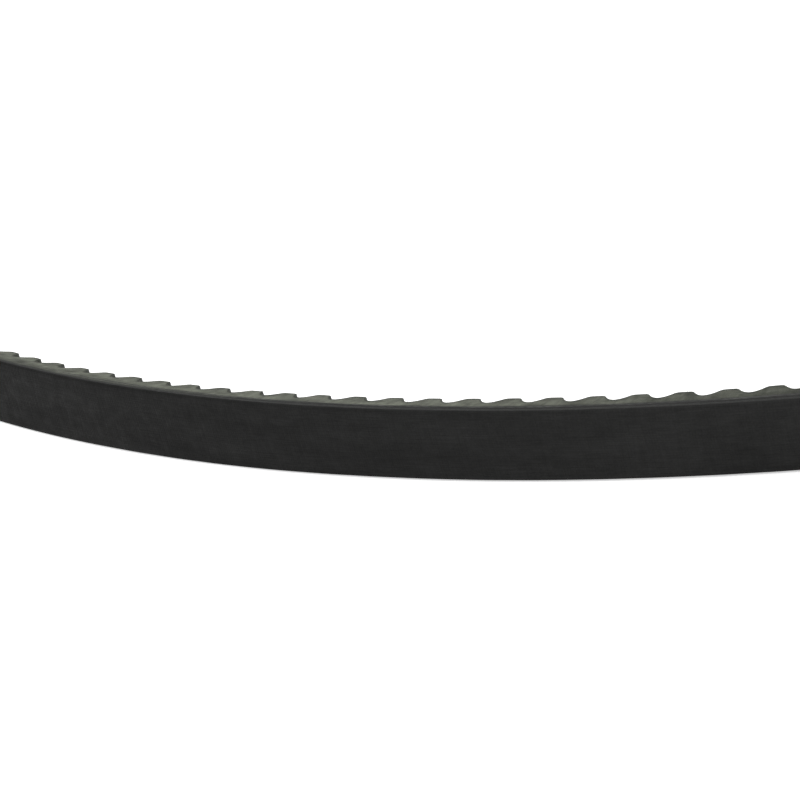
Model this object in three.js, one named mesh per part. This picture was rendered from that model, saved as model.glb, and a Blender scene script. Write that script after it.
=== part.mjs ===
// Raw-edge cogged V-belt: 17 mm top width, 11 mm thick, 3312 mm outside length.
// The endless belt stands on the lower edge of its back, in the oval it relaxes to off
// its pulleys, where its section leans a little inwards and outwards by turns.
// Millimetres. +Z is the axis the belt runs round, +X the oval's long axis, and the
// origin is the oval's centre on the plane the belt stands on.
//
// Places on the belt are given by three numbers: the station along the loop, the depth
// below the back (0 at the back, THICKNESS at the cog tips), and the height above the
// middle of the belt's width.

import * as THREE from 'three';
import { ParametricGeometry } from 'three/addons/geometries/ParametricGeometry.js';

// Section
const TOP_WIDTH = 17;
const THICKNESS = 11;
const FLANK_ANGLE = THREE.MathUtils.degToRad(18);
const LAYER_GAP = 0.12;

// Loop
const OUTSIDE_LENGTH = 3312;
const OVALITY = 0.3;
const COG_COUNT = 340;
const COGS_PER_STATION = 4;
const STATION_COUNT = COG_COUNT / COGS_PER_STATION;
const STEPS_PER_STATION = 80;

// Lean of the section, which swings twice per lap
const LEAN_SWING = THREE.MathUtils.degToRad(14);
const LEAN_PHASE = THREE.MathUtils.degToRad(163);

// Layers, by thickness, from the back inwards
const BACK_FABRIC = 0.9;
const TENSION_RUBBER = 1.3;
const UPPER_CUSHION = 0.3;
const CORD_DIAMETER = 1.3;
const LOWER_CUSHION = 0.4;
const COG_FABRIC = 0.4;
const COG_FABRIC_GAP = 0.15;

// Cogs; the width of a tip is a fraction of the cog pitch
const COG_DEPTH = 3.3;
const COG_TIP_FRACTION = 0.38;

// Tensile cords: one S-twisted and one Z-twisted cord, wound side by side
const CORD_SPACING = 1.9;
const TURNS_PER_CORD = 3;
const CORD_SIDES = 4;

// Strips across the broad faces of a layer, so that its facets follow the lean closely
const PLAIN_STRIPS = 3;
const COGGED_STRIPS = 1;

// Leaning either way, the square edge of the back reaches this far below the middle
const centreHeight = Math.hypot(TOP_WIDTH / 2, BACK_FABRIC);

const materials = {
  backFabric: new THREE.MeshStandardMaterial({ color: 0x262626, roughness: 0.85, metalness: 0 }),
  blackRubber: new THREE.MeshStandardMaterial({ color: 0x2f302e, roughness: 0.75, metalness: 0 }),
  cushionGum: new THREE.MeshStandardMaterial({ color: 0x3a3a38, roughness: 0.7, metalness: 0 }),
  cord: new THREE.MeshStandardMaterial({ color: 0x8a8a80, roughness: 0.8, metalness: 0 }),
  fibreRubber: new THREE.MeshStandardMaterial({ color: 0x6b6c64, roughness: 0.85, metalness: 0 }),
  cogFabric: new THREE.MeshStandardMaterial({ color: 0x2b2b29, roughness: 0.85, metalness: 0 }),
};

// Direction the back runs in at a distance along the loop. Its rate of turning swings
// twice per lap, which draws the circle out into an oval.
function heading(distance) {
  const lap = (2 * Math.PI * distance) / OUTSIDE_LENGTH;
  return lap - (OVALITY / 2) * Math.sin(2 * lap);
}

// Lean of the section at a distance along the loop: positive where its inner side is
// raised and the top of its back leans outwards.
function lean(distance) {
  return LEAN_SWING * Math.sin((4 * Math.PI * distance) / OUTSIDE_LENGTH + LEAN_PHASE);
}

// Points of the back at every station, with the direction towards the inside and the lean.
function traceLoop() {
  const step = OUTSIDE_LENGTH / STATION_COUNT / STEPS_PER_STATION;
  const here = new THREE.Vector2();
  const centre = new THREE.Vector2();
  const stations = [];
  for (let i = 0; i < STATION_COUNT; i += 1) {
    const start = i * STEPS_PER_STATION;
    const angle = heading(start * step);
    stations.push({
      point: here.clone(),
      inward: new THREE.Vector2(-Math.sin(angle), Math.cos(angle)),
      lean: lean(start * step),
    });
    centre.addScaledVector(here, 1 / STATION_COUNT);
    for (let j = 0; j < STEPS_PER_STATION; j += 1) {
      const midway = heading((start + j + 0.5) * step);
      here.x += step * Math.cos(midway);
      here.y += step * Math.sin(midway);
    }
  }
  stations.forEach((station) => station.point.sub(centre));
  return stations;
}

const loop = traceLoop();

// A place on the belt; between two stations the belt runs straight.
function place(station, depth, height, target) {
  const index = Math.floor(station + 1e-6);
  const part = station - index;
  const a = loop[((index % STATION_COUNT) + STATION_COUNT) % STATION_COUNT];
  const b = loop[(((index + 1) % STATION_COUNT) + STATION_COUNT) % STATION_COUNT];
  return leaned(a, depth, height, target).lerp(leaned(b, depth, height, new THREE.Vector3()), part);
}

// A place in a station's own section, which leans about the middle of the back.
function leaned(station, depth, height, target) {
  const inwards = depth * Math.cos(station.lean) - height * Math.sin(station.lean);
  const upwards = depth * Math.sin(station.lean) + height * Math.cos(station.lean);
  return target.set(
    station.point.x + inwards * station.inward.x,
    station.point.y + inwards * station.inward.y,
    centreHeight + upwards,
  );
}

// Half the belt's width: the edge of the back fabric is square, then the flanks close in.
function halfWidth(depth) {
  return TOP_WIDTH / 2 - Math.max(0, depth - BACK_FABRIC) * Math.tan(FLANK_ANGLE);
}

// An endless layer whose section has four corners, with its outer and inner faces cut
// into strips. Its depths may change along the loop: rows holds, for each cross-section
// in turn, its station and its two depths.
function endlessLayer(rows, strips) {
  const pointsPerFace = strips + 1;
  const points = 2 * pointsPerFace;
  const surface = (u, v, target) => {
    const index = Math.round(u * points) % points;
    const row = rows[Math.round(v * rows.length) % rows.length];
    const isInner = index < pointsPerFace;
    const across = (2 * (index % pointsPerFace)) / strips - 1;
    const depth = isInner ? row.to : row.from;
    const side = isInner ? across : -across;
    return place(row.station, depth, side * halfWidth(depth), target);
  };
  return new ParametricGeometry(surface, points, rows.length);
}

function plainLayer(from, thickness) {
  const rows = loop.map((_, station) => ({ station, from, to: from + thickness }));
  return endlessLayer(rows, PLAIN_STRIPS);
}

// Cross-sections of a layer on the cogged side: the two edges of each tip, then the valley.
function coggedLayer(surfacesAt) {
  const corners = [
    { at: -COG_TIP_FRACTION / 2, sunk: 0 },
    { at: COG_TIP_FRACTION / 2, sunk: 0 },
    { at: 0.5, sunk: COG_DEPTH },
  ];
  const rows = [];
  for (let cog = 0; cog < COG_COUNT; cog += 1) {
    corners.forEach(({ at, sunk }) => {
      rows.push({ station: (cog + at) / COGS_PER_STATION, ...surfacesAt(sunk) });
    });
  }
  return endlessLayer(rows, COGGED_STRIPS);
}

// The centre line of a cord: laps of the loop at one depth, climbing evenly.
class CordPath extends THREE.Curve {
  constructor(depth, startHeight, climbPerTurn) {
    super();
    this.depth = depth;
    this.startHeight = startHeight;
    this.climbPerTurn = climbPerTurn;
  }

  getPoint(t, target = new THREE.Vector3()) {
    const turns = t * TURNS_PER_CORD;
    const height = this.startHeight + turns * this.climbPerTurn;
    return place(turns * STATION_COUNT, this.depth, height, target);
  }

  getPointAt(t, target) {
    return this.getPoint(t, target);
  }
}

function cordGeometry(depth, startHeight) {
  const corners = [];
  for (let i = 0; i < CORD_SIDES; i += 1) {
    const angle = (2 * Math.PI * i) / CORD_SIDES;
    corners.push(new THREE.Vector2(Math.cos(angle), Math.sin(angle)).multiplyScalar(CORD_DIAMETER / 2));
  }
  return new THREE.ExtrudeGeometry(new THREE.Shape(corners), {
    steps: TURNS_PER_CORD * STATION_COUNT,
    extrudePath: new CordPath(depth, startHeight, 2 * CORD_SPACING),
  });
}

function named(name, geometry, material) {
  const mesh = new THREE.Mesh(geometry, material);
  mesh.name = name;
  return mesh;
}

function buildBelt() {
  const belt = new THREE.Group();
  const tensionFrom = BACK_FABRIC + LAYER_GAP;
  const upperFrom = tensionFrom + TENSION_RUBBER + LAYER_GAP;
  const cordDepth = upperFrom + UPPER_CUSHION + LAYER_GAP + CORD_DIAMETER / 2;
  const lowerFrom = cordDepth + CORD_DIAMETER / 2 + LAYER_GAP;
  const compressionFrom = lowerFrom + LOWER_CUSHION + LAYER_GAP;
  const firstCord = -(TURNS_PER_CORD * 2 * CORD_SPACING + CORD_SPACING) / 2;

  belt.add(named('back_fabric', plainLayer(0, BACK_FABRIC), materials.backFabric));
  belt.add(named('tension_rubber', plainLayer(tensionFrom, TENSION_RUBBER), materials.blackRubber));
  belt.add(named('upper_cushion_gum', plainLayer(upperFrom, UPPER_CUSHION), materials.cushionGum));
  ['tensile_cord_s', 'tensile_cord_z'].forEach((name, i) => {
    belt.add(named(name, cordGeometry(cordDepth, firstCord + i * CORD_SPACING), materials.cord));
  });
  belt.add(named('lower_cushion_gum', plainLayer(lowerFrom, LOWER_CUSHION), materials.cushionGum));

  const rubber = coggedLayer((sunk) => ({
    from: compressionFrom,
    to: THICKNESS - COG_FABRIC - COG_FABRIC_GAP - sunk,
  }));
  belt.add(named('compression_rubber', rubber, materials.fibreRubber));

  const facing = coggedLayer((sunk) => ({
    from: THICKNESS - COG_FABRIC - sunk,
    to: THICKNESS - sunk,
  }));
  belt.add(named('cog_fabric', facing, materials.cogFabric));
  return belt;
}

export default buildBelt();
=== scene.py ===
"""Looks of a raw-edge cogged V-belt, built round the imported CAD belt.

Lengths are millimetres along the belt's own directions until a mesh is made, which is in metres. s is the
distance along the back from the middle of the front long side, depth is measured inwards from the back, and
height upwards from the middle of the belt's width.
"""

import math
import random

import bpy
from mathutils import Matrix, Vector, noise


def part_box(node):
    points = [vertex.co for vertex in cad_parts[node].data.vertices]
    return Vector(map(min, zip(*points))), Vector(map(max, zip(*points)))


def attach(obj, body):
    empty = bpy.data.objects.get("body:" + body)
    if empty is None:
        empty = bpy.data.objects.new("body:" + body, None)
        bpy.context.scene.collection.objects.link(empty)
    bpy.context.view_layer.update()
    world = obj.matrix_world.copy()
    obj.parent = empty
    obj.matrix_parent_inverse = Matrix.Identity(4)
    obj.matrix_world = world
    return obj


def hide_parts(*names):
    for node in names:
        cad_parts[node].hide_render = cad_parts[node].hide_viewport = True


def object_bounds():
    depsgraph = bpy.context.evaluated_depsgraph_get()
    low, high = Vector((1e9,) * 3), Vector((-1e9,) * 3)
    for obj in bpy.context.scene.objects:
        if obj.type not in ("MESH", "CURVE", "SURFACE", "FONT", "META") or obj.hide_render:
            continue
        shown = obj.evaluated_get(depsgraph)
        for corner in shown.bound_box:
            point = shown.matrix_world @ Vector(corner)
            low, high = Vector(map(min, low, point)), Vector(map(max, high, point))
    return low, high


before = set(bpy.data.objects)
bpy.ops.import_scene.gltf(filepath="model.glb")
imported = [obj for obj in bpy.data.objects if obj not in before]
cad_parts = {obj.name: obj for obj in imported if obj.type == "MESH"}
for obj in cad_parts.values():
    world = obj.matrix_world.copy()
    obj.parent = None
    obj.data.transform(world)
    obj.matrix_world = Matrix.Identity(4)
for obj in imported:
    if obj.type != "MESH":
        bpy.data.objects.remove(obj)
CAD_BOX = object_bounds()
BACK_LOW, BACK_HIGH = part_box("back_fabric")

MM = 0.001
ROOT = "root"
SEED = 17

# The belt's section and loop, as in the CAD. Neighbouring layers meet in the middle of the CAD's gaps.
TOP_WIDTH = 17.0
MIDDLE_HEIGHT = (BACK_HIGH.z + BACK_LOW.z) / MM / 2
THICKNESS = 11.0
FLANK_SLOPE = math.tan(math.radians(18))
OUTSIDE_LENGTH = 3312.0
OVALITY = 0.3
LEAN_SWING = math.radians(14)
LEAN_PHASE = math.radians(163)
COG_COUNT = 340
COG_PITCH = OUTSIDE_LENGTH / COG_COUNT
COG_DEPTH = 3.3
COG_TIP_EDGE = 0.19
BACK_FABRIC = 0.9
TENSION_TO = 2.38
CUSHION_SPLIT = 3.51
CUSHION_TO = 4.74
COG_FABRIC = 0.4

CORD_RADIUS = 0.65
CORD_CLIMB = 3.8
CORD_DEPTH = 3.51

# How finely cogs are swept, and how round their corners are.
STEPS_PER_COG = 20
COG_CORNER = 0.6


# --- the loop ---------------------------------------------------------------------------------------------


def heading(s):
    """Direction of the belt at s, in radians from +X."""
    turn = 2 * math.pi * s / OUTSIDE_LENGTH
    return turn - OVALITY / 2 * math.sin(2 * turn)


def trace_loop(steps):
    """Points of the back's centre line at even steps from -half to +half of its length, centred on zero."""
    step = OUTSIDE_LENGTH / steps
    x, y, points = 0.0, 0.0, []
    for i in range(steps + 1):
        points.append((x, y))
        middle = heading(-OUTSIDE_LENGTH / 2 + (i + 0.5) * step)
        x += math.cos(middle) * step
        y += math.sin(middle) * step
    middle_x = (max(p[0] for p in points) + min(p[0] for p in points)) / 2
    middle_y = (max(p[1] for p in points) + min(p[1] for p in points)) / 2
    return [(p[0] - middle_x, p[1] - middle_y) for p in points]


TRACE_STEPS = COG_COUNT * STEPS_PER_COG
TRACE = trace_loop(TRACE_STEPS)


def on_back(s):
    """Point of the back's centre line at s, wrapped round the loop."""
    place = ((s / OUTSIDE_LENGTH + 0.5) % 1.0) * TRACE_STEPS
    i = min(int(place), TRACE_STEPS - 1)
    part = place - i
    (ax, ay), (bx, by) = TRACE[i], TRACE[i + 1]
    return ax + (bx - ax) * part, ay + (by - ay) * part


def lean(s):
    """Lean of the section at s: positive where its inner side is raised."""
    return LEAN_SWING * math.sin(4 * math.pi * s / OUTSIDE_LENGTH + LEAN_PHASE)


def in_space(s, depth, height):
    """A point of the belt in metres."""
    x, y = on_back(s)
    turn, tip = heading(s), lean(s)
    inwards = depth * math.cos(tip) - height * math.sin(tip)
    upwards = depth * math.sin(tip) + height * math.cos(tip)
    return (
        (x - math.sin(turn) * inwards) * MM,
        (y + math.cos(turn) * inwards) * MM,
        (MIDDLE_HEIGHT + upwards) * MM,
    )


def half_width(depth):
    """Half the belt's width at a depth: square at the back fabric, then narrowing at the flank angle."""
    return TOP_WIDTH / 2 - max(0.0, depth - BACK_FABRIC) * FLANK_SLOPE


def waver(s, size, lane=0.0):
    """Smooth noise from about -1 to 1 that closes on itself round the loop; size is its wavelength."""
    x, y = on_back(s)
    return noise.noise(Vector((x / size, y / size, lane)))


# --- meshes -----------------------------------------------------------------------------------------------


def belt_mesh(name, vertices, faces, corners, sharp_degrees=38):
    """A mesh object that carries each corner's (s, height, depth) for its material."""
    mesh = bpy.data.meshes.new(name)
    mesh.from_pydata(vertices, [], faces)
    belt = mesh.attributes.new("belt", "FLOAT_VECTOR", "CORNER")
    belt.data.foreach_set("vector", [value for corner in corners for value in corner])
    mesh.polygons.foreach_set("use_smooth", [True] * len(mesh.polygons))
    mesh.set_sharp_from_angle(angle=math.radians(sharp_degrees))
    piece = bpy.data.objects.new(name, mesh)
    bpy.context.scene.collection.objects.link(piece)
    return piece


def endless(name, section, steps, sharp_degrees=38):
    """A closed ring swept round the loop. section(s) gives its outline as (depth, height) points."""
    vertices, places = [], []
    for i in range(steps):
        s = OUTSIDE_LENGTH * (i / steps - 0.5)
        for depth, height in section(s):
            vertices.append(in_space(s, depth, height))
            places.append((s, height, depth))
    size = len(vertices) // steps
    faces, corners = [], []
    for i in range(steps):
        for k in range(size):
            here, after = i * size, ((i + 1) % steps) * size
            k2 = (k + 1) % size
            ring = (here + k, after + k, after + k2, here + k2)
            faces.append(ring)
            for index in ring:
                s, height, depth = places[index]
                if i == steps - 1 and index < size:
                    s += OUTSIDE_LENGTH
                corners.append((s, height, depth))
    return belt_mesh(name, vertices, faces, corners, sharp_degrees)


def mirrored(upper):
    """A whole outline from its upper half, given from the outer middle round to the inner middle."""
    return upper + [(depth, -height) for depth, height in reversed(upper)]


# --- pieces -----------------------------------------------------------------------------------------------

PLAIN_STEPS = COG_COUNT * 4
LAYER_BEVEL = 0.07
FLANK_WAVE = 0.05
FABRIC_ROUNDING = 0.34
FABRIC_CROWN = 0.12
FABRIC_CROWN_WAVER = 0.03
FABRIC_CORNER_STEPS = 4
LAYER_BULGE = 0.02
INNER_FACE_SHARE = 0.4
COGGED_FACE_SHARE = 0.45


def flank_wave(s, lane):
    """How far a layer's cut edge stands out from the true flank at s."""
    return FLANK_WAVE * (waver(s, 34.0, lane) + 0.5 * waver(s, 7.0, lane + 9.0))


def back_fabric_section(s):
    """Fabric with a slightly crowned back, rounded outer corners and a trimmed inner edge."""
    half = half_width(0) + flank_wave(s, 1.0)
    crown = FABRIC_CROWN + FABRIC_CROWN_WAVER * waver(s, 60.0, 3.0)
    upper = []
    for part in (0.12, 0.35, 0.58, 0.8, 0.93):
        height = part * (half - FABRIC_ROUNDING)
        upper.append((crown * part**2, height))
    for corner in range(FABRIC_CORNER_STEPS + 1):
        turn = math.pi / 2 * corner / FABRIC_CORNER_STEPS
        depth = crown + FABRIC_ROUNDING * (1 - math.cos(turn))
        upper.append((depth, half - FABRIC_ROUNDING * (1 - math.sin(turn))))
    upper.append((BACK_FABRIC - LAYER_BEVEL, half + 0.01))
    inner = BACK_FABRIC + 0.02
    upper.append((inner, half - LAYER_BEVEL))
    upper.append((inner, half * INNER_FACE_SHARE))
    return mirrored(upper)


def layer_section(s, outer, inner, lane, proud):
    """A rubber layer between two depths, with its cut edges bevelled and slightly wavy."""
    wave = flank_wave(s, lane) + proud
    middle = (outer + inner) / 2

    def edge(depth, inset=0.0):
        return depth, half_width(depth) + wave - inset

    upper = [(outer, half_width(outer) * INNER_FACE_SHARE)]
    upper += [edge(outer, LAYER_BEVEL), edge(outer + LAYER_BEVEL), edge(middle, -LAYER_BULGE)]
    upper += [edge(inner - LAYER_BEVEL), edge(inner, LAYER_BEVEL)]
    upper.append((inner, half_width(inner) * INNER_FACE_SHARE))
    return mirrored(upper)


def make_layer(name, node, outer, inner, lane, proud):
    piece = endless(name, lambda s: layer_section(s, outer, inner, lane, proud), PLAIN_STEPS)
    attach(piece, ROOT)
    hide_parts(node)
    return piece


COG_SPREADS = {"depth_share": 0.018, "edge_shift": 0.006, "tilt": 0.035}


def cog_variation():
    """Small differences from cog to cog: depth share, tip edge shift and a tilt of its tip."""
    picks = random.Random(SEED)
    return [[picks.gauss(0, spread) for spread in COG_SPREADS.values()] for _ in range(COG_COUNT)]


COG_VARIATION = cog_variation()
TILT_REACH = 0.42


def sunk(s):
    """How far the cogged face lies below a cog's tip at s.

    Tips are nearly flat, their corners rounded and the valleys hollow."""
    turn = s / COG_PITCH
    cog = math.floor(turn + 0.5)
    u = turn - cog
    depth_share, edge_shift, tilt = COG_VARIATION[cog % COG_COUNT]
    tip = COG_TIP_EDGE + edge_shift
    hollow = COG_DEPTH * (1 - ((0.5 - abs(u)) / (0.5 - tip)) ** 2)
    rounded = (hollow + math.sqrt(hollow * hollow + COG_CORNER**2)) / 2
    fade = max(0.0, 1 - abs(u) / TILT_REACH)
    own = 1 + depth_share * (1 - abs(2 * u))
    return rounded * own + tilt * u * fade


def fabric_thickness(s):
    """The cog fabric's thickness measured along the depth, which grows where the face is steep."""
    reach = COG_PITCH / STEPS_PER_COG / 2
    slope = (sunk(s + reach) - sunk(s - reach)) / (2 * reach)
    return COG_FABRIC * math.sqrt(1 + slope * slope)


def compression_section(s):
    """The cogged rubber: wavy ground flanks and, inside, the face that the cog fabric covers."""
    outer = CUSHION_TO + 0.01
    inner = THICKNESS - sunk(s) - fabric_thickness(s) + 0.02
    upper = [(outer, half_width(outer) * INNER_FACE_SHARE)]
    for part in (0.0, 0.3, 0.6, 0.85, 1.0):
        depth = outer + (inner - outer) * part
        relief = flank_wave(s, 5.0 + 0.4 * part) + 0.03 * waver(s, 2.6, depth * 0.5)
        inset = LAYER_BEVEL if part == 0.0 else 0.0
        upper.append((depth, half_width(depth) + relief - inset))
    upper.append((inner, half_width(inner) * COGGED_FACE_SHARE))
    return mirrored(upper)


def cog_fabric_section(s):
    """The thin fabric moulded over the cogs, trimmed flush with the flanks."""
    inner = THICKNESS - sunk(s)
    outer = inner - fabric_thickness(s)
    middle = (outer + inner) / 2
    wave = flank_wave(s, 8.0) + 0.02
    upper = [(outer, half_width(outer) * COGGED_FACE_SHARE), (outer, half_width(outer) + wave - 0.03)]
    upper.append((middle, half_width(middle) + wave))
    upper.append((inner - 0.06, half_width(inner) + wave - 0.01))
    upper.append((inner, half_width(inner) + wave - 0.08))
    upper.append((inner + 0.03 * waver(s, 3.0, 2.0), half_width(inner) * COGGED_FACE_SHARE))
    return mirrored(upper)


CORD_STEPS_PER_TURN = COG_COUNT * 2
CORD_POINTS = 12
CORD_START = -785.0


def make_cord(name, node, first_cut):
    """A wound cord that runs out through both flanks, where it is cut off flush.

    first_cut is the s at which it starts to show in the upper flank."""
    limit = half_width(CORD_DEPTH) + CORD_RADIUS * 0.97
    half_run = limit / CORD_CLIMB * OUTSIDE_LENGTH
    upper_end = first_cut + 2 * CORD_RADIUS / CORD_CLIMB * OUTSIDE_LENGTH
    start = upper_end - 2 * half_run
    steps = int(2 * half_run / OUTSIDE_LENGTH * CORD_STEPS_PER_TURN)
    vertices, faces, corners, places = [], [], [], []
    for i in range(steps + 1):
        s = start + 2 * half_run * i / steps
        centre = -limit + 2 * limit * i / steps
        for k in range(CORD_POINTS):
            turn = 2 * math.pi * k / CORD_POINTS
            depth = CORD_DEPTH + CORD_RADIUS * math.cos(turn)
            flush = half_width(depth) + 0.07 + 0.03 * waver(s, 9.0, 4.0 + math.cos(turn))
            height = max(-flush, min(flush, centre + CORD_RADIUS * math.sin(turn)))
            vertices.append(in_space(s, depth, height))
            places.append((s, height, depth))
    for i in range(steps):
        for k in range(CORD_POINTS):
            here, after, k2 = i * CORD_POINTS, (i + 1) * CORD_POINTS, (k + 1) % CORD_POINTS
            ring = (here + k, here + k2, after + k2, after + k)
            faces.append(ring)
            corners += [places[index] for index in ring]
    for cap in (range(CORD_POINTS - 1, -1, -1), range(steps * CORD_POINTS, (steps + 1) * CORD_POINTS)):
        faces.append(tuple(cap))
        corners += [places[index] for index in cap]
    piece = belt_mesh(name, vertices, faces, corners, 60)
    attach(piece, ROOT)
    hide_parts(node)
    return piece


# --- loose fibres -----------------------------------------------------------------------------------------

FIBRE_RINGS = 4
FIBRE_SIDES = 3
HAIR_RADIUS = (0.018, 0.04)
BURR_SHARE = 0.1
BURR_RADIUS = (0.1, 0.18)
BURR_LENGTH = (0.25, 0.45)
COG_HAIR_LENGTH = (0.15, 0.6)
BACK_HAIR_LENGTH = (0.1, 0.4)
BACK_HAIRS = 900


def add_fibre(builder, picks, s, depth, height, out, length, radius):
    """A short tapering hair that leaves the belt along out = (ds, ddepth, dheight) and bends as it goes."""
    vertices, faces, corners = builder
    base = len(vertices)
    bend = [picks.gauss(0, 0.5) for _ in range(3)]
    for i in range(FIBRE_RINGS):
        part = i / (FIBRE_RINGS - 1)
        centre = [c + length * part * (o + b * part) for c, o, b in zip((s, depth, height), out, bend)]
        for k in range(FIBRE_SIDES):
            turn = 2 * math.pi * k / FIBRE_SIDES
            thick = radius * (1 - 0.85 * part)
            x, y, z = in_space(
                centre[0] + thick * math.cos(turn),
                centre[1] + thick * math.sin(turn),
                centre[2] + thick * math.cos(turn + 1.2),
            )
            vertices.append((x, y, max(z, CAD_BOX[0].z)))
    place = (s, height, depth)
    for i in range(FIBRE_RINGS - 1):
        for k in range(FIBRE_SIDES):
            a, b = base + i * FIBRE_SIDES, base + (i + 1) * FIBRE_SIDES
            k2 = (k + 1) % FIBRE_SIDES
            faces.append((a + k, a + k2, b + k2, b + k))
            corners += [place] * 4
    faces.append(tuple(range(base + FIBRE_SIDES - 1, base - 1, -1)))
    faces.append(tuple(range(len(vertices) - FIBRE_SIDES, len(vertices))))
    corners += [place] * (2 * FIBRE_SIDES)


def make_cog_edge_fibres():
    """Trimmed fibre ends of the cog fabric along both flanks, with a thicker burr here and there."""
    picks = random.Random(SEED + 1)
    builder = ([], [], [])
    for cog in range(-COG_COUNT // 2, COG_COUNT // 2):
        for side in (-1, 1):
            for _ in range(picks.choice((1, 2, 2, 3, 4))):
                s = (cog + picks.uniform(-0.5, 0.5)) * COG_PITCH
                depth = THICKNESS - sunk(s) - picks.uniform(0.05, 0.3)
                out = (picks.gauss(0, 0.6), picks.uniform(0.0, 0.8), side * picks.uniform(0.2, 0.9))
                start = side * (half_width(depth) - 0.05)
                burr = picks.random() < BURR_SHARE
                length = picks.uniform(*(BURR_LENGTH if burr else COG_HAIR_LENGTH))
                radius = picks.uniform(*(BURR_RADIUS if burr else HAIR_RADIUS))
                add_fibre(builder, picks, s, depth, start, out, length, radius)
    return belt_mesh("cog_fabric_edge_fibres", *builder)


def make_back_edge_fibres():
    """Trimmed thread ends of the back fabric along both its edges."""
    picks = random.Random(SEED + 2)
    builder = ([], [], [])
    for _ in range(BACK_HAIRS):
        side = picks.choice((-1, 1))
        s = picks.uniform(-0.5, 0.5) * OUTSIDE_LENGTH
        depth = picks.uniform(0.35, BACK_FABRIC)
        out = (picks.gauss(0, 0.7), picks.uniform(-0.6, 0.4), side * picks.uniform(0.1, 0.7))
        start = side * (half_width(depth) - 0.04)
        length = picks.uniform(*BACK_HAIR_LENGTH)
        add_fibre(builder, picks, s, depth, start, out, length, picks.uniform(*HAIR_RADIUS))
    return belt_mesh("back_fabric_edge_fibres", *builder)


# --- materials --------------------------------------------------------------------------------------------


class Shade:
    """Short-hand for building one material's nodes."""

    def __init__(self, name):
        self.material = bpy.data.materials.new(name)
        self.material.use_nodes = True
        self.tree = self.material.node_tree
        self.surface = self.tree.nodes["Principled BSDF"]
        place = self.node("ShaderNodeAttribute")
        place.attribute_name = "belt"
        split = self.node("ShaderNodeSeparateXYZ")
        self.link(place.outputs["Vector"], split.inputs[0])
        self.along, self.height, self.depth = split.outputs

    def node(self, kind):
        return self.tree.nodes.new(kind)

    def link(self, value, socket):
        if hasattr(value, "links"):
            self.tree.links.new(value, socket)
        else:
            socket.default_value = value

    def math(self, operation, a, b=0.0, c=0.0):
        node = self.node("ShaderNodeMath")
        node.operation = operation
        for value, socket in zip((a, b, c), node.inputs):
            self.link(value, socket)
        return node.outputs[0]

    def remap(self, value, low, high, to_low=0.0, to_high=1.0):
        node = self.node("ShaderNodeMapRange")
        node.interpolation_type = "SMOOTHSTEP"
        for given, socket in zip((value, low, high, to_low, to_high), node.inputs):
            self.link(given, socket)
        return node.outputs[0]

    def vary(self, tone, pattern, amount):
        """tone times a factor that swings by amount, and is 1 where the 0 to 1 pattern is a half."""
        return self.math("MULTIPLY", tone, self.math("MULTIPLY_ADD", pattern, amount, 1 - amount / 2))

    def coordinates(self, per_along, per_height, per_depth):
        """Belt coordinates scaled to that many pattern units per millimetre."""
        node = self.node("ShaderNodeCombineXYZ")
        scales = (per_along, per_height, per_depth)
        for source, scale, socket in zip((self.along, self.height, self.depth), scales, node.inputs):
            self.link(self.math("MULTIPLY", source, scale), socket)
        return node.outputs[0]

    def noise(self, vector, detail=3.0, rough=0.55):
        node = self.node("ShaderNodeTexNoise")
        self.link(vector, node.inputs["Vector"])
        node.inputs["Scale"].default_value = 1.0
        node.inputs["Detail"].default_value = detail
        node.inputs["Roughness"].default_value = rough
        return node.outputs["Fac"]

    def swing(self, times, peak):
        """A wave from -1 to 1, that many times round the belt, with a peak at s = peak."""
        turn = 2 * math.pi * times / OUTSIDE_LENGTH
        return self.math("COSINE", self.math("MULTIPLY_ADD", self.along, turn, -peak * turn))

    def cells(self, vector, spread=1.0):
        node = self.node("ShaderNodeTexVoronoi")
        self.link(vector, node.inputs["Vector"])
        node.inputs["Scale"].default_value = 1.0
        node.inputs["Randomness"].default_value = spread
        return node

    def mix(self, share, a, b):
        node = self.node("ShaderNodeMix")
        node.data_type = "RGBA"
        self.link(share, node.inputs[0])
        self.link(a, node.inputs[6])
        self.link(b, node.inputs[7])
        return node.outputs[2]

    def brighten(self, colour, factor):
        """colour times a number."""
        node = self.node("ShaderNodeVectorMath")
        node.operation = "SCALE"
        self.link(colour[:3] if isinstance(colour, tuple) else colour, node.inputs[0])
        self.link(factor, node.inputs["Scale"])
        return node.outputs[0]

    def finish(self, colour, roughness, height, distance, specular):
        """Colour, roughness and bump; height is 0 to 1 and distance the bump's depth in millimetres."""
        self.link(colour, self.surface.inputs["Base Color"])
        self.link(roughness, self.surface.inputs["Roughness"])
        self.surface.inputs["Specular IOR Level"].default_value = specular
        bump = self.node("ShaderNodeBump")
        bump.inputs["Distance"].default_value = distance * MM
        self.link(height, bump.inputs["Height"])
        self.link(bump.outputs[0], self.surface.inputs["Normal"])
        return self.material


def grey(level, warm=0.0):
    """A near-neutral linear colour; warm leans it to olive."""
    return (level, level * (1 + 0.4 * warm), level * (1 - warm), 1.0)


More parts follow.
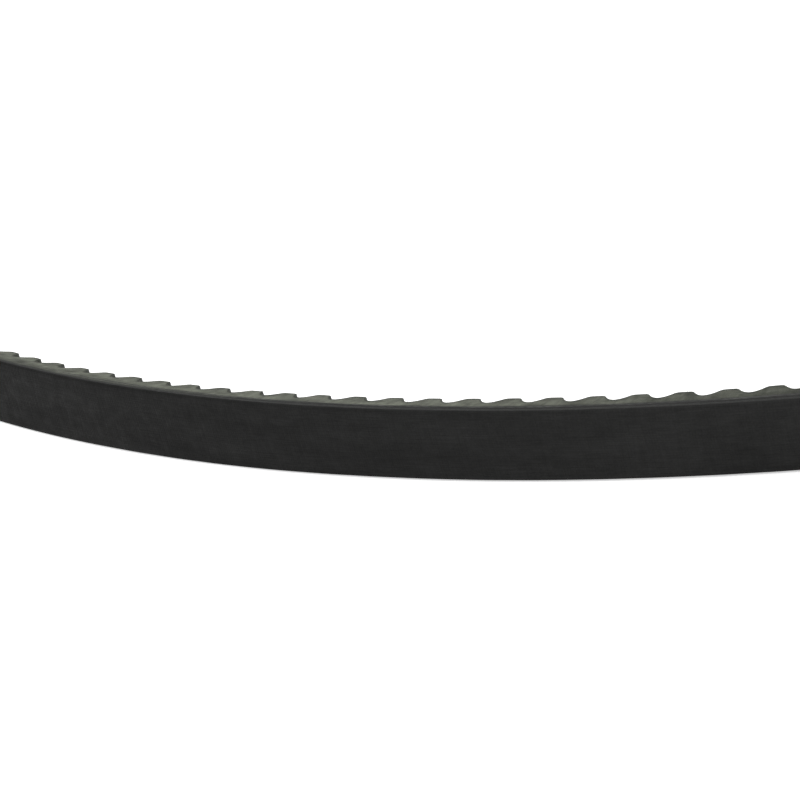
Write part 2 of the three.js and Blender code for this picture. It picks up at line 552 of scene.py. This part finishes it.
def weave(shade, pitch_along, pitch_height):
    """Height of a plain weave, 0 to 1, and which of its threads is on top."""
    wander = shade.math("MULTIPLY_ADD", shade.noise(shade.coordinates(0.09, 0.25, 0.25), 2.0), 1.6, -0.8)
    u = shade.math("ADD", shade.math("DIVIDE", shade.along, pitch_along), wander)
    v = shade.math("ADD", shade.math("DIVIDE", shade.height, pitch_height), wander)
    parity = shade.math("ADD", shade.math("FLOOR", u), shade.math("FLOOR", v))
    over = shade.math("PINGPONG", parity, 1.0)
    ridge_u = shade.math("ABSOLUTE", shade.math("SINE", shade.math("MULTIPLY", u, math.pi)))
    ridge_v = shade.math("ABSOLUTE", shade.math("SINE", shade.math("MULTIPLY", v, math.pi)))
    along_thread = shade.math("MULTIPLY", ridge_v, shade.math("MULTIPLY_ADD", ridge_u, 0.35, 0.65))
    across_thread = shade.math("MULTIPLY", ridge_u, shade.math("MULTIPLY_ADD", ridge_v, 0.35, 0.65))
    first = shade.math("MULTIPLY", along_thread, over)
    second = shade.math("MULTIPLY", across_thread, shade.math("SUBTRACT", 1.0, over))
    return shade.math("ADD", first, second), over


# Where and how often round the belt the fabric gets a painted sheen, paler at its peak and darker between.
PAINTED_SHEEN_SWINGS = 8
PAINTED_SHEEN_PEAK = -570.0
CLOTH_DUST = 0.1


def flank_distance(shade):
    """How far a point is from the nearer flank, in mm."""
    half = shade.math("MULTIPLY_ADD", shade.depth, -FLANK_SLOPE, half_width(0.0) + BACK_FABRIC * FLANK_SLOPE)
    return shade.math("SUBTRACT", half, shade.math("ABSOLUTE", shade.height))


def add_edge_dust(shade, colour, tone, share):
    """Olive grinding dust on a fabric, ragged and only close to the flanks."""
    ragged = shade.noise(shade.coordinates(0.7, 0.5, 0.5), 4.0, 0.6)
    reach = shade.math("MULTIPLY_ADD", ragged, -2.0, shade.math("ADD", flank_distance(shade), 1.0))
    dust = shade.remap(reach, 0.2, 2.6, share, 0.0)
    return shade.mix(dust, colour, shade.brighten(grey(CLOTH_DUST, DUST_WARMTH), tone))


def fabric_material(name, base, pitch, specular, edge_dust=0.0):
    """Rubber-soaked woven fabric: threads, filled hollows, slow sheen changes, lint, painted highlights on
    the threads with painted shade between them, and a painted sheen round the belt.
    """
    shade = Shade(name)
    thread, over = weave(shade, pitch, pitch * 0.92)
    fuzz = shade.noise(shade.coordinates(3.2, 3.2, 3.2), 4.0, 0.65)
    slow = shade.noise(shade.coordinates(0.035, 0.16, 0.16), 3.0)
    warp = shade.noise(shade.coordinates(0.2, 1.9, 1.9), 3.0, 0.6)
    weft = shade.noise(shade.coordinates(1.2, 0.17, 0.3), 3.0, 0.6)
    # painted sheen: the fabric's tone swings paler and darker round the belt, as light would fall on it
    painted_sheen = shade.math("MULTIPLY_ADD", shade.swing(PAINTED_SHEEN_SWINGS, PAINTED_SHEEN_PEAK), 0.2, 0.87)
    filled = shade.remap(shade.noise(shade.coordinates(0.25, 0.3, 0.3), 3.0), 0.42, 0.66)
    tone = painted_sheen
    for pattern, amount in ((slow, 0.9), (fuzz, 0.5), (warp, 0.9), (weft, 0.7), (over, 0.06)):
        tone = shade.vary(tone, pattern, amount)
    relief = shade.math("MULTIPLY", thread, shade.math("MULTIPLY_ADD", filled, -0.6, 1.0))
    # painted highlight on the raised threads and painted shade in the weave's hollows
    tone = shade.math("MULTIPLY", tone, shade.math("MULTIPLY_ADD", relief, 0.24, 0.86))
    colour = shade.brighten(grey(base, 0.02), tone)
    lint = shade.cells(shade.coordinates(0.5, 0.9, 0.9))
    speck = shade.remap(lint.outputs["Distance"], 0.035, 0.06, 1.0, 0.0)
    speck = shade.math("MULTIPLY", speck, 0.28)
    colour = shade.mix(speck, colour, grey(base * 4.0))
    if edge_dust:
        colour = add_edge_dust(shade, colour, tone, edge_dust)
    rough = shade.math("MULTIPLY_ADD", slow, -0.2, 0.86)
    rough = shade.math("MULTIPLY_ADD", filled, -0.1, rough)
    height = shade.math("MULTIPLY_ADD", fuzz, 0.3, shade.math("MULTIPLY", relief, 0.35))
    threads = shade.math("ADD", warp, weft)
    height = shade.math("MULTIPLY_ADD", threads, 1.3, height)
    return shade.finish(colour, rough, height, 0.09, specular)


# How olive the dust is, where and how often round the belt the clean band drifts, and where and how often
# painted shade darkens the flank.
DUST_WARMTH = 0.15
CLEAN_BAND_SWINGS = 12
CLEAN_BAND_PEAK = -800.0
PAINTED_FLANK_SHADE_SWINGS = 9
PAINTED_FLANK_SHADE_PEAK = -760.0


def dust_share(shade, bare_from, bare_to):
    """Share of olive rubber dust left on the ground flank: full on the cogs, thinning over the cord band.

    How deep the clean band reaches drifts slowly round the belt."""
    drift = shade.math("MULTIPLY", shade.swing(CLEAN_BAND_SWINGS, CLEAN_BAND_PEAK), 0.95)
    ragged = shade.noise(shade.coordinates(0.3, 0.9, 0.9), 4.0, 0.6)
    shifted = shade.math("MULTIPLY_ADD", ragged, 1.8, shade.math("SUBTRACT", shade.depth, 0.9))
    shifted = shade.math("ADD", shifted, drift)
    return shade.remap(shifted, bare_from, bare_to)


def depth_to_cogs(shade):
    """Depth left, in mm, between a point of the flank and the cogged inner face."""
    turn = shade.math("DIVIDE", shade.along, COG_PITCH)
    off = shade.math("ABSOLUTE", shade.math("SUBTRACT", turn, shade.math("ROUND", turn)))
    share = shade.math("DIVIDE", shade.math("SUBTRACT", 0.5, off), 0.5 - COG_TIP_EDGE)
    hollow = shade.math("MULTIPLY_ADD", shade.math("POWER", share, 2.0), -COG_DEPTH, COG_DEPTH)
    face = shade.math("SUBTRACT", THICKNESS, shade.math("MAXIMUM", hollow, 0.0))
    return shade.math("SUBTRACT", face, shade.depth)


def raw_edge_material(name, base, dust_level, specular, fibres=0.35):
    """Ground rubber: grinding streaks along the belt, fibre ends, mottling, olive dust, painted shade in
    swings round the belt and painted shade towards the cogged face.
    """
    shade = Shade(name)
    streak = shade.noise(shade.coordinates(0.22, 1.4, 4.2), 4.0, 0.6)
    mottle = shade.noise(shade.coordinates(0.17, 0.3, 0.3), 3.0, 0.55)
    upright = shade.noise(shade.coordinates(0.8, 0.3, 0.2), 3.0, 0.6)
    grain = shade.noise(shade.coordinates(4.5, 4.5, 4.5), 3.0, 0.7)
    # painted shade: the ground flank darkens in broad swings round the belt
    painted_flank_shade = shade.remap(shade.swing(PAINTED_FLANK_SHADE_SWINGS, PAINTED_FLANK_SHADE_PEAK), -0.8, 0.3, 0.56, 1.0)
    # painted shade: the flank darkens towards its edge with the cogged face
    painted_edge_shade = shade.remap(depth_to_cogs(shade), 0.35, 1.3, 0.58, 1.0)
    dust = dust_share(shade, 2.6, 4.6)
    tone = shade.math("MULTIPLY", painted_flank_shade, painted_edge_shade)
    for pattern, amount in ((mottle, 2.0), (upright, 1.2), (streak, 0.4), (grain, 0.5)):
        tone = shade.vary(tone, pattern, amount)
    bare = shade.brighten(grey(base, 0.03), shade.vary(1.0, streak, 0.9))
    dusty = shade.brighten(grey(dust_level, DUST_WARMTH), tone)
    colour = shade.mix(dust, bare, dusty)
    ends = shade.cells(shade.coordinates(2.2, 5.0, 3.4))
    end = shade.remap(ends.outputs["Distance"], 0.16, 0.3, fibres, 0.0)
    colour = shade.mix(end, colour, grey(base * 0.9, 0.03))
    pale = shade.cells(shade.coordinates(0.8, 1.9, 1.3))
    speck = shade.remap(pale.outputs["Distance"], 0.06, 0.12, fibres, 0.0)
    colour = shade.mix(speck, colour, grey(dust_level * 1.5, 0.05))
    rough = shade.math("MULTIPLY_ADD", grain, 0.15, 0.74)
    height = shade.math("ADD", streak, shade.math("MULTIPLY", grain, 0.6))
    return shade.finish(colour, rough, height, 0.07, specular)


def cord_material():
    """Cut polyester cord: fine twisted filaments in two tones, greyed with rubber."""
    shade = Shade("tensile_cord_yarn")
    lay = shade.math("MULTIPLY_ADD", shade.depth, 2.2, shade.math("MULTIPLY", shade.along, 0.9))
    lay = shade.math("ADD", lay, shade.math("MULTIPLY", shade.height, 1.3))
    twist = shade.math("ABSOLUTE", shade.math("SINE", shade.math("MULTIPLY", lay, math.pi / 2)))
    filament = shade.noise(shade.coordinates(0.9, 9.0, 9.0), 4.0, 0.6)
    smear = shade.remap(shade.noise(shade.coordinates(0.12, 1.0, 1.0), 3.0), 0.38, 0.62)
    tone = shade.vary(shade.math("MULTIPLY_ADD", twist, 0.35, 0.55), filament, 0.8)
    colour = shade.mix(smear, grey(0.03, 0.03), shade.brighten(grey(0.085, 0.04), tone))
    rough = shade.math("MULTIPLY_ADD", filament, 0.2, 0.6)
    height = shade.math("MULTIPLY_ADD", filament, 0.5, twist)
    return shade.finish(colour, rough, height, 0.08, 0.2)


def fibre_material():
    """Loose thread ends, from black to a dusty grey."""
    shade = Shade("loose_fibre")
    tone = shade.remap(shade.noise(shade.coordinates(0.7, 0.7, 0.7), 2.0), 0.35, 0.65, 0.7, 2.4)
    fine = shade.noise(shade.coordinates(6.0, 6.0, 6.0), 2.0)
    return shade.finish(shade.brighten(grey(0.03, 0.04), tone), 0.85, fine, 0.02, 0.15)


def floor_material():
    """A white light table, faintly grained."""
    material = bpy.data.materials.new("light_table")
    material.use_nodes = True
    tree = material.node_tree
    surface = tree.nodes["Principled BSDF"]
    place = tree.nodes.new("ShaderNodeTexCoord")
    grain = tree.nodes.new("ShaderNodeTexNoise")
    grain.inputs["Scale"].default_value = 60.0
    ramp = tree.nodes.new("ShaderNodeMapRange")
    ramp.inputs["To Min"].default_value = 0.87
    ramp.inputs["To Max"].default_value = 0.9
    tree.links.new(place.outputs["Object"], grain.inputs["Vector"])
    tree.links.new(grain.outputs["Fac"], ramp.inputs["Value"])
    tree.links.new(ramp.outputs[0], surface.inputs["Base Color"])
    surface.inputs["Roughness"].default_value = 1.0
    surface.inputs["Specular IOR Level"].default_value = 0.0
    surface.inputs["Emission Color"].default_value = (1, 1, 1, 1)
    surface.inputs["Emission Strength"].default_value = TABLE_GLOW
    return material


# --- building ---------------------------------------------------------------------------------------------


def dress(piece, material):
    piece.data.materials.append(material)


def build_belt():
    back = endless("woven_back_fabric", back_fabric_section, PLAIN_STEPS)
    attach(back, ROOT)
    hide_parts("back_fabric")
    back_cloth = fabric_material("back_cloth", 0.0122, 0.62, 0.14)
    dress(back, back_cloth)

    tension_from = BACK_FABRIC + 0.03
    tension = make_layer("tension_rubber_layer", "tension_rubber", tension_from, TENSION_TO, 2.0, 0.0)
    dress(tension, raw_edge_material("tension_raw_edge", 0.026, 0.1, 0.2, 0.2))

    gum = raw_edge_material("cushion_raw_edge", 0.017, 0.09, 0.25, 0.1)
    outer_gum = make_layer(
        "outer_cushion_gum", "upper_cushion_gum", TENSION_TO + 0.01, CUSHION_SPLIT, 3.0, -0.02
    )
    dress(outer_gum, gum)
    inner_gum = make_layer(
        "inner_cushion_gum", "lower_cushion_gum", CUSHION_SPLIT + 0.01, CUSHION_TO, 3.0, -0.02
    )
    dress(inner_gum, gum)

    yarn = cord_material()
    half_turn = OUTSIDE_LENGTH / 2
    dress(make_cord("wound_cord_s", "tensile_cord_s", CORD_START), yarn)
    dress(make_cord("wound_cord_z", "tensile_cord_z", CORD_START + half_turn), yarn)

    rubber = endless("cogged_compression_rubber", compression_section, TRACE_STEPS)
    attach(rubber, ROOT)
    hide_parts("compression_rubber")
    dress(rubber, raw_edge_material("compression_raw_edge", 0.03, 0.122, 0.2))

    facing = endless("moulded_cog_fabric", cog_fabric_section, TRACE_STEPS)
    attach(facing, ROOT)
    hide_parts("cog_fabric")
    cog_cloth = fabric_material("cog_cloth", 0.022, 0.5, 0.14, 0.75)
    dress(facing, cog_cloth)

    fibre = fibre_material()
    for fibres, slot in ((make_cog_edge_fibres(), "cog_fabric"), (make_back_edge_fibres(), "back_fabric")):
        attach(fibres, ROOT)
        dress(fibres, fibre)


# --- studio and camera ------------------------------------------------------------------------------------

FLOOR_SIZE = 60.0
FLOOR_DROP = 0.0002
SUN_STRENGTH = 2.7
SUN_ANGLE = 80.0
SUN_TILT = 10.0
SKY_LEVEL = 0.3
TABLE_GLOW = 0.5


def make_studio():
    """A plain white floor under one very soft light, a little to the camera's left, and an even pale sky."""
    half = FLOOR_SIZE / 2
    mesh = bpy.data.meshes.new("floor")
    corners = [(-half, -half, 0), (half, -half, 0), (half, half, 0), (-half, half, 0)]
    mesh.from_pydata(corners, [], [(0, 1, 2, 3)])
    floor = bpy.data.objects.new("floor", mesh)
    floor.location.z = CAD_BOX[0].z - FLOOR_DROP
    mesh.materials.append(floor_material())
    bpy.context.scene.collection.objects.link(floor)

    lamp = bpy.data.lights.new("overhead_light", "SUN")
    lamp.energy = SUN_STRENGTH
    lamp.angle = math.radians(SUN_ANGLE)
    sun = bpy.data.objects.new("overhead_light", lamp)
    tilt, side = math.radians(SUN_TILT), math.radians(AZIMUTH + 180)
    level = math.sin(tilt)
    towards = Vector((math.cos(side) * level, math.sin(side) * level, math.cos(tilt)))
    sun.rotation_euler = towards.to_track_quat("Z", "Y").to_euler()
    bpy.context.scene.collection.objects.link(sun)

    world = bpy.data.worlds.new("studio_sky")
    world.use_nodes = True
    sky = world.node_tree.nodes["Background"]
    sky.inputs["Color"].default_value = (1, 1, 1, 1)
    sky.inputs["Strength"].default_value = SKY_LEVEL
    bpy.context.scene.world = world
    bpy.context.scene.view_settings.view_transform = "Standard"


LENS = 112.5
SENSOR = 36.0
TARGET_S = -693.41
DISTANCE = 531.89
ELEVATION = 25.852
AZIMUTH = -37.652
ROLL = -14.379
AIM_PITCH = -1.088


def make_camera():
    """A tele lens above the belt's left end, rolled as a hand-held shot is."""
    elevation, azimuth, roll = (math.radians(a) for a in (ELEVATION, AZIMUTH, ROLL))
    pitch = elevation + math.radians(AIM_PITCH)
    target = Vector(in_space(TARGET_S, 0.0, 0.0))
    reach = DISTANCE * MM
    away = Vector((math.cos(elevation) * math.sin(azimuth), -math.cos(elevation) * math.cos(azimuth)))
    place = target + reach * Vector((away.x, away.y, math.sin(elevation)))
    level = math.cos(pitch)
    forward = Vector((-math.sin(azimuth) * level, math.cos(azimuth) * level, -math.sin(pitch)))
    right = forward.cross(Vector((0, 0, 1))).normalized()
    up = right.cross(forward)
    rolled_right = math.cos(roll) * right + math.sin(roll) * up
    rolled_up = -math.sin(roll) * right + math.cos(roll) * up
    lens = bpy.data.cameras.new("camera")
    lens.lens = LENS
    lens.sensor_width = SENSOR
    lens.clip_start = 0.01
    camera = bpy.data.objects.new("camera", lens)
    turn = Matrix((rolled_right, rolled_up, -forward)).transposed().to_4x4()
    camera.matrix_world = Matrix.Translation(place) @ turn
    bpy.context.scene.collection.objects.link(camera)
    bpy.context.scene.camera = camera


build_belt()
make_studio()
make_camera()
